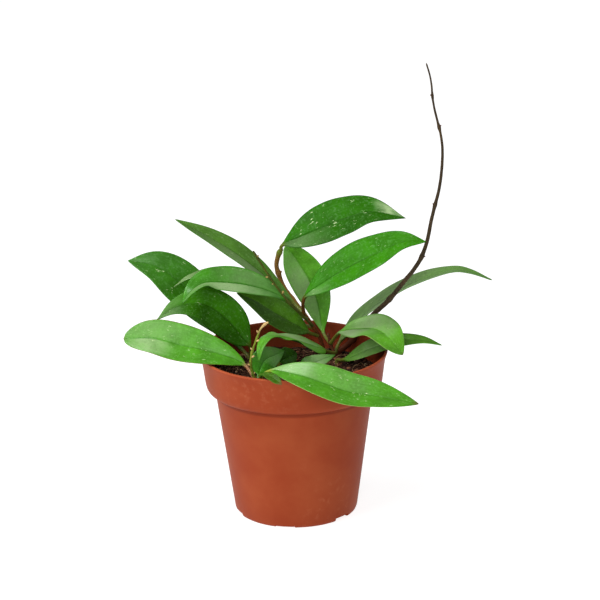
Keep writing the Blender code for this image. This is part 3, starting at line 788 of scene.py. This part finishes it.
def pot_profile():
    """From the middle of the base, out over the foot, up the outside, over the lip and down to the floor."""
    under = [
        (0.0, 0.0),
        (BOSS_RADIUS, 0.0),
        (BOSS_RADIUS + 0.8, FLOOR_LOW),
        (FOOT_INNER_RADIUS - 0.5, FLOOR_LOW),
        (FOOT_INNER_RADIUS, 0.0),
    ]
    outside = [
        (FOOT_RADIUS, 0.0),
        (body_radius(0) - 0.3, 0.6),
        (body_radius(2.2), 2.2),
        (body_radius(15), 15.0),
        (body_radius(30), 30.0),
        (body_radius(45), 45.0),
        (body_radius(60), 60.0),
        (body_radius(BAND_LOW - 3), BAND_LOW - 3.0),
        (body_radius(BAND_LOW - 1.2) + 0.15, BAND_LOW - 1.2),
        (BODY_TOP_RADIUS + 0.7, BAND_LOW - 0.5),
        (BODY_TOP_RADIUS + 1.6, BAND_LOW - 0.1),
        (BAND_RADIUS - 2.4, BAND_LOW + 0.35),
        (BAND_RADIUS - 1.2, BAND_LOW + 1.2),
        (BAND_RADIUS - 0.5, BAND_LOW + 2.4),
        (BAND_RADIUS, BAND_LOW + 4.5),
        (BAND_RADIUS + 0.6, BAND_LOW + 9.0),
        (BAND_RADIUS + 1.3, POT_TOP - 8.0),
        (RIM_RADIUS - 1.3, POT_TOP - 4.6),
        (RIM_RADIUS - 0.7, POT_TOP - 2.8),
        (RIM_RADIUS - 0.2, POT_TOP - 1.4),
        (RIM_RADIUS, POT_TOP - 0.6),
        (RIM_RADIUS - 0.1, POT_TOP - 0.2),
        (RIM_RADIUS - 0.4, POT_TOP),
    ]
    inside = [
        (RIM_RADIUS - WALL, POT_TOP),
        (RIM_RADIUS - WALL - 0.3, POT_TOP - 0.5),
        (RIM_RADIUS - WALL - 1.1, POT_TOP - 3.5),
        (BAND_RADIUS + 1.3 - WALL, POT_TOP - 8.0),
        (BAND_RADIUS - WALL, BAND_LOW + 4.8),
        (BAND_RADIUS - WALL - 1.5, BAND_LOW + 2.1),
        (body_radius(BAND_LOW - 1) - WALL + 0.9, BAND_LOW + 0.6),
        (body_radius(BAND_LOW - 3) - WALL, BAND_LOW - 2.6),
        (body_radius(30) - WALL, 30.0),
        (body_radius(FLOOR_HIGH) - WALL - 0.9, FLOOR_HIGH),
        (0.0, FLOOR_HIGH),
    ]
    return under + outside + inside


def pot_piece():
    """The moulded shell, spun, then cut for its drain notches and holes, with its steeper edges kept sharp.
    """
    bm = bmesh.new()
    verts = [bm.verts.new((radius, 0.0, height)) for radius, height in pot_profile()]
    edges = [bm.edges.new(pair) for pair in zip(verts, verts[1:])]
    bmesh.ops.spin(bm, geom=verts + edges, cent=(0, 0, 0), axis=(0, 0, 1), angle=math.tau, steps=POT_SIDES,
                   use_merge=True)
    bmesh.ops.remove_doubles(bm, verts=bm.verts, dist=0.001)
    pot = add_piece("moulded_pot", bm, moulded_plastic(), "pot")
    cut_round_foot(pot, "notches", FOOT_RADIUS, NOTCH_HEIGHTS, add_notch)
    cut_round_foot(pot, "drains", DRAIN_PLACE, (DRAIN_HEIGHT,), add_drain)
    pot.data.set_sharp_from_angle(angle=math.radians(SHARP_ANGLE))


def add_notch(bm, matrix, depth):
    shape = Matrix.Diagonal((NOTCH_REACH, NOTCH_WIDTH, depth, 1.0))
    bmesh.ops.create_cube(bm, size=1.0, matrix=matrix @ shape)


def add_drain(bm, matrix, depth):
    bmesh.ops.create_cone(bm, cap_ends=True, segments=DRAIN_SIDES, radius1=DRAIN_RADIUS,
                          radius2=DRAIN_RADIUS, depth=depth, matrix=matrix)


def cut_round_foot(pot, name, radius, heights, add_shape):
    """Cuts the same shape out of the foot at each of its notches, up to each of the heights in turn."""
    bm = bmesh.new()
    for index in range(NOTCHES):
        turn = Matrix.Rotation(math.radians(-90 + NOTCH_TURN + index * 360 / NOTCHES), 4, "Z")
        height = heights[index % len(heights)]
        place = Matrix.Translation((radius, 0.0, (height - CUT_BELOW) / 2))
        add_shape(bm, turn @ place, height + CUT_BELOW)
    bmesh.ops.scale(bm, vec=(MM, MM, MM), verts=bm.verts)
    cutter = mesh_object(name, bm)
    modifier = pot.modifiers.new(name, "BOOLEAN")
    modifier.object = cutter
    modifier.solver = "EXACT"
    apply_modifiers(pot)
    bpy.data.objects.remove(cutter)


def apply_modifiers(piece):
    """Keeps a piece's shape as its modifiers make it."""
    graph = bpy.context.evaluated_depsgraph_get()
    shaped = bpy.data.meshes.new_from_object(piece.evaluated_get(graph), depsgraph=graph)
    piece.modifiers.clear()
    piece.data = shaped


# -------------------- soil

def soil_height(x, y):
    """Height of the uneven surface."""
    broad = noise.noise(Vector((x * 0.11, y * 0.11, 3.0)))
    small = noise.noise(Vector((x * 0.27, y * 0.27, 8.0)))
    return SOIL_HEIGHT + SOIL_RELIEF * (broad + 0.5 * small)


def soil_piece(material):
    """The mix in the pot: an uneven, lumpy top over a plain plug."""
    bm = bmesh.new()
    bmesh.ops.create_circle(bm, cap_ends=True, segments=SOIL_SIDES, radius=SOIL_RADIUS)
    top = bm.faces[:][0]
    low = bmesh.ops.extrude_face_region(bm, geom=[top])["geom"]
    low = [item for item in low if isinstance(item, bmesh.types.BMVert)]
    bmesh.ops.translate(bm, vec=(0.0, 0.0, -SOIL_DEPTH), verts=low)
    for _ in range(SOIL_RINGS):
        bmesh.ops.inset_region(bm, faces=[top], thickness=SOIL_RADIUS / (SOIL_RINGS + 1), depth=0.0)
    for vert in bm.verts:
        if vert.co.z > -1:
            x, y = vert.co.x, vert.co.y
            lumps = noise.fractal(Vector((x, y, 0.0)) * 0.55, 0.7, 2.2, 5)
            vert.co.z = soil_height(x, y) + SOIL_LUMPS * lumps
        else:
            vert.co.z = SOIL_HEIGHT - SOIL_DEPTH
            vert.co.xy *= PLUG_TAPER
    add_piece("potting_mix_top", bm, material, "soil")


def scattered(draw, reach):
    """A random spot within this distance of the middle."""
    angle = draw.uniform(0, math.tau)
    radius = reach * math.sqrt(draw.random())
    return radius * math.cos(angle), radius * math.sin(angle)


def crumbs(name, count, sizes, flat, material, seed):
    """Loose bits on the mix: each a small knocked-about lump, flattened by the given share."""
    draw = random.Random(seed)
    bm = bmesh.new()
    for _ in range(count):
        size = draw.uniform(*sizes)
        x, y = scattered(draw, SOIL_RADIUS - size - 0.4)
        shape = (Matrix.Translation((x, y, soil_height(x, y) + size * 0.35))
                 @ Matrix.Rotation(draw.uniform(0, math.tau), 4, "Z")
                 @ Matrix.Rotation(draw.uniform(-0.5, 0.5), 4, "X")
                 @ Matrix.Diagonal((1.0, draw.uniform(0.5, 0.9), draw.uniform(*flat), 1.0)))
        made = bmesh.ops.create_icosphere(bm, subdivisions=1, radius=size, matrix=shape)
        for vert in made["verts"]:
            vert.co += Vector([draw.uniform(-0.22, 0.22) * size for _ in range(3)])
    add_piece(name, bm, material)


def fibres(name, count, material, seed):
    """Fine dry roots and coir that arch out of the mix."""
    draw = random.Random(seed)
    bm = bmesh.new()
    for _ in range(count):
        x, y = scattered(draw, SOIL_RADIUS - 6)
        heading = draw.uniform(0, math.tau)
        length = draw.uniform(*FIBRE_LENGTHS)
        points = []
        for step in range(FIBRE_POINTS):
            share = step / (FIBRE_POINTS - 1)
            bend = heading + 0.9 * share * draw.uniform(-1, 1)
            px = x + math.cos(bend) * length * (share - 0.5)
            py = y + math.sin(bend) * length * (share - 0.5)
            limit = (SOIL_RADIUS - 1.0) / max(math.hypot(px, py), SOIL_RADIUS - 1.0)
            px, py = px * limit, py * limit
            rise = FIBRE_ARCH * math.sin(math.pi * share) * draw.random()
            points.append(Vector((px, py, soil_height(px, py) + 0.3 + rise)))
        add_thread(bm, smooth_curve(points, 4), draw.uniform(*FIBRE_RADII))
    add_piece(name, bm, material)


def add_thread(bm, curve, radius):
    """A thin tube along a curve: a small ring, extruded from point to point."""
    ring = bmesh.ops.create_circle(bm, cap_ends=False, segments=FIBRE_SIDES, radius=radius)["verts"]
    edges = list(dict.fromkeys(edge for vert in ring for edge in vert.link_edges))
    across, normal = frame_at(curve_direction(curve, 0), Vector((1.0, 0.2, 0.0)))
    for vert in ring:
        vert.co = curve[0] + across * vert.co.x + normal * vert.co.y
    for before, after in zip(curve, curve[1:]):
        made = bmesh.ops.extrude_edge_only(bm, edges=edges)["geom"]
        ring = [item for item in made if isinstance(item, bmesh.types.BMVert)]
        edges = [item for item in made if isinstance(item, bmesh.types.BMEdge)]
        edges = [edge for edge in edges if all(vert in ring for vert in edge.verts)]
        for vert in ring:
            vert.co += after - before


# -------------------- floor, light, camera

def studio():
    """A pale, faintly glowing floor, a dim surround, and soft lights above, on the left and in front."""
    floor_finish = Finish("pale_floor", Base_Color=FLOOR_GREY, Emission_Color=WHITE,
                          Emission_Strength=FLOOR_GLOW, Roughness=0.9, Specular_IOR_Level=0.0)
    bm = bmesh.new()
    bmesh.ops.create_grid(bm, x_segments=1, y_segments=1, size=FLOOR_REACH)
    floor = mesh_object("floor", bm)
    floor.data.materials.append(floor_finish.material)
    world = bpy.data.worlds.new("surround")
    world.use_nodes = True
    background = world.node_tree.nodes["Background"]
    background.inputs["Color"].default_value = WHITE
    background.inputs["Strength"].default_value = WORLD_STRENGTH
    bpy.context.scene.world = world
    for name, place, size, power in LIGHTS:
        add_light(name, Vector(place), size, power)


def add_light(name, place, size, power):
    light = bpy.data.lights.new(name, "AREA")
    light.shape = "DISK"
    light.size = size
    light.energy = power
    lamp = add_object(name, light)
    lamp.location = place
    lamp.rotation_euler = (LIGHT_TARGET - place).to_track_quat("-Z", "Y").to_euler()


def camera():
    """Looks at the middle of the plant from the front, a little above, turned very slightly."""
    target = Vector(CAMERA_TARGET)
    rise = math.radians(CAMERA_RISE)
    back = Vector((0.0, -math.cos(rise), math.sin(rise)))
    right = Vector((1.0, 0.0, 0.0))
    up = back.cross(right)
    roll = Matrix.Rotation(math.radians(CAMERA_ROLL), 3, back)
    right, up = roll @ right, roll @ up
    lens = bpy.data.cameras.new("camera")
    lens.lens = CAMERA_LENS
    lens.sensor_width = CAMERA_SENSOR
    lens.clip_end = CAMERA_SEES
    viewer = add_object("camera", lens)
    turned = Matrix((right, up, back)).transposed()
    viewer.matrix_world = Matrix.Translation(target + back * CAMERA_DISTANCE) @ turned.to_4x4()
    bpy.context.scene.camera = viewer


# -------------------- looks and studio

# The joints of a stem: the height of each and how much it swells there
STEM_JOINTS = {
    "whip": [(93.3, 0.25), (121.0, 0.25), (149.0, 0.3), (180.0, 0.3), (225.0, 0.6), (243.0, 0.5)],
    "vine": [(101.0, 0.3), (109.0, 0.25)],
    "upper_shoot": [(115.0, 0.25), (130.0, 0.35), (143.0, 0.3)],
    "old_twig": [(120.0, 0.35), (138.0, 0.4), (150.0, 0.35)],
    "left_stem": [(90.0, 0.3)],
    "dark_stem": [(90.0, 0.3)],
    "front_twig": [(92.0, 0.4), (99.0, 0.4), (105.0, 0.45), (113.0, 0.35), (121.0, 0.8)],
}
# Nubs on a stem: a height, a turn round the stem in degrees, and a size
STEM_BUDS = {
    "whip": [(225, 20, 0.8), (243, 160, 0.7), (180, 175, 0.7), (149, 10, 0.8)],
    "upper_shoot": [(130, 20, 1.2), (122, 170, 0.9)],
    "old_twig": [(127, 15, 1.2), (138, 170, 1.1), (150, 20, 0.9), (133, 200, 0.8)],
    "front_twig": [(92, 10, 0.9), (97, 175, 1.1), (102, 15, 1.2), (106, 150, 1.1), (111, 30, 1.1),
                   (116, 175, 1.0), (121.5, 90, 1.2)],
}
# Dark and light bark, and the colour that it turns to between two heights
STEM_LOOKS = {
    "whip": (srgb(28, 22, 13), srgb(74, 59, 38), (srgb(80, 40, 24), 112, 96)),
    "vine": (srgb(70, 34, 16), srgb(118, 66, 32)),
    "dark_stem": (srgb(64, 34, 20), srgb(104, 62, 36)),
    "left_stem": (srgb(52, 36, 20), srgb(92, 66, 38)),
    "upper_shoot": (srgb(96, 60, 26), srgb(132, 100, 48), (srgb(84, 112, 30), 138, 146)),
    "old_twig": (srgb(42, 52, 12), srgb(88, 94, 34)),
    "front_twig": (srgb(66, 86, 14), srgb(128, 140, 46), (srgb(186, 156, 104), 114, 120)),
}
# Where the buds' husks differ from the stem's skin
BUD_LOOKS = {
    "front_twig": (srgb(150, 118, 66), srgb(206, 180, 124)),
    "old_twig": (srgb(112, 92, 46), srgb(176, 150, 94)),
}


def look(upper, painted_sheens=(), painted_half_shades=(1.0, 1.0), margin=GREEN_EDGE, flecks=0.7, stalk=OLIVE, tip=0.0,
         gloss=0.26, sheen=0.3, keel=0.15):
    """How a leaf looks: its finish and how sharply it folds along the midrib."""
    finish = dict(upper=upper, margin=margin, flecks=flecks, stalk=stalk, tip=tip, gloss=gloss,
                  painted_half_shades=painted_half_shades, painted_sheens=painted_sheens, sheen=sheen)
    return dict(finish=finish, keel=keel)


# Each leaf's green is set lighter or darker by how much light reaches that leaf: painted light and shade.
LEAF_LOOKS = {
    "front_right_leaf": look(BRIGHT, [(0.12, 0.3, -1, 0.4), (0.5, 0.3, -1, 0.12)],
        margin=PALE_EDGE, flecks=1.2, stalk=srgb(150, 162, 60), tip=0.08),
    "front_left_leaf": look(BRIGHT, [(0.78, 0.4, 1, 0.2), (0.8, 0.26, -1, 0.5)],
        margin=RED_EDGE, flecks=0.9, stalk=srgb(146, 104, 70), tip=0.035),
    "rim_leaf": look(srgb(56, 92, 2), tip=0.2, sheen=0.08),
    "small_front_leaf": look(GREEN, [(0.7, 0.4, 0, 0.15)], flecks=0.3, stalk=srgb(70, 120, 30)),
    "left_droop_leaf": look(srgb(50, 106, 6), [(0.95, 0.25, 0, 0.2)], (0.72, 1.0),
        margin=DARK_EDGE, flecks=0.55, sheen=0.06),
    "far_left_leaf": look(srgb(50, 108, 14), [(0.15, 0.35, 0, 0.12)], flecks=0.9, keel=0.1),
    "long_upper_left_leaf": look(GREYISH, [(0.4, 0.5, -1, 0.2)], (0.95, 1.1), flecks=0.4),
    "arched_leaf": look(srgb(56, 122, 14), [(0.55, 0.5, -1, 0.62), (0.35, 0.4, 1, 0.2)], flecks=0.5),
    "hidden_twin_leaf": look(GREYISH, [(0.9, 0.3, 0, 0.3)], flecks=0.4),
    "under_leaf": look(srgb(68, 116, 16), (), (0.55, 1.0), flecks=0.3),
    "top_leaf": look(srgb(42, 98, 2), [(0.14, 0.32, 1, 0.16), (0.87, 0.12, -1, 0.75)], (1.0, 0.75),
        margin=DARK_EDGE, flecks=0.9, sheen=0.06, keel=0.2),
    "upper_right_leaf": look(srgb(49, 113, 2), [(0.08, 0.2, 1, 0.2)],
        margin=DARK_EDGE, flecks=0.5, stalk=BROWN, sheen=0.08, keel=0.2),
    "upright_leaf": look(srgb(86, 158, 36), [(0.5, 0.6, -1, 0.4)], (0.92, 1.0),
        flecks=0.3, gloss=0.34, keel=0.2),
    "long_right_leaf": look(srgb(74, 120, 38), [(0.4, 0.6, 0, 0.25)], flecks=0.4),
    "right_droop_leaf": look(srgb(84, 150, 30), [(0.25, 0.4, 1, 0.85), (0.45, 0.4, -1, 0.65)],
        margin=PALE_EDGE, tip=0.05),
    "low_right_leaf": look(srgb(76, 130, 28), [(0.3, 0.3, 0, 0.2)], flecks=0.3),
    "folded_leaf": look(srgb(80, 146, 34), [(0.4, 0.35, 1, 0.7)], flecks=0.3),
    "small_centre_leaf": look(srgb(60, 112, 28), [(0.5, 0.5, 0, 0.3)], flecks=0.3),
    "shaded_leaf": look(srgb(36, 70, 1), flecks=0.2, sheen=0.03),
}

# Studio, in metres
WHITE = (1.0, 1.0, 1.0, 1.0)
FLOOR_GREY = (0.4, 0.4, 0.4, 1.0)
FLOOR_GLOW = 0.84
FLOOR_REACH = 6.0
WORLD_STRENGTH = 0.3
LIGHT_TARGET = Vector((0.0, 0.0, 0.11))
# Name, place, size across and power
LIGHTS = [
    ("overhead", (-0.45, -0.2, 1.35), 0.6, 12.0),
    ("left", (-1.3, 0.1, 0.9), 0.7, 5.0),
    ("front", (0.0, -1.5, 1.0), 0.7, 7.5),
    ("key", (-1.2, -1.1, 0.6), 0.7, 10.5),
]
CAMERA_TARGET = (0.0043, 0.0, 0.1255)
CAMERA_DISTANCE = 1.5
CAMERA_SEES = 20.0
CAMERA_RISE = 17.7  # degrees
CAMERA_ROLL = -1.08  # degrees
CAMERA_LENS = 158.2  # mm, on a sensor of the width below
CAMERA_SENSOR = 36.0

# -------------------- the plant

pot_piece()
mix = crumbly("damp_mix", srgb(36, 22, 17), srgb(100, 66, 49))
soil_piece(mix)
bark_chip = crumbly("bark_bits", srgb(84, 48, 32), srgb(156, 106, 74))
pale_grit = crumbly("pale_bits", srgb(170, 132, 104), srgb(222, 196, 170))
coir = crumbly("coir_fibres", srgb(124, 92, 64), srgb(196, 160, 120))
crumbs("mix_crumbs", count=1500, sizes=(0.45, 1.5), flat=(0.5, 0.95), material=mix, seed=11)
crumbs("bark_bits", count=90, sizes=(0.8, 2.4), flat=(0.25, 0.5), material=bark_chip, seed=23)
crumbs("pale_bits", count=80, sizes=(0.4, 1.3), flat=(0.4, 0.8), material=pale_grit, seed=37)
fibres("coir_fibres", count=70, material=coir, seed=41)
for stem_name, colours in STEM_LOOKS.items():
    skin = bark(f"{stem_name}_bark", *colours)
    stem_piece(stem_name, skin)
    if stem_name in STEM_BUDS:
        husk = bark(f"{stem_name}_bud_husk", *BUD_LOOKS[stem_name]) if stem_name in BUD_LOOKS else skin
        buds(f"{stem_name}_buds", stem_name, STEM_BUDS[stem_name], husk)
for leaf_name, leaf_plan in LEAVES.items():
    leaf_piece(leaf_name, **leaf_plan)
studio()
camera()
bpy.context.scene.view_settings.view_transform = "Standard"
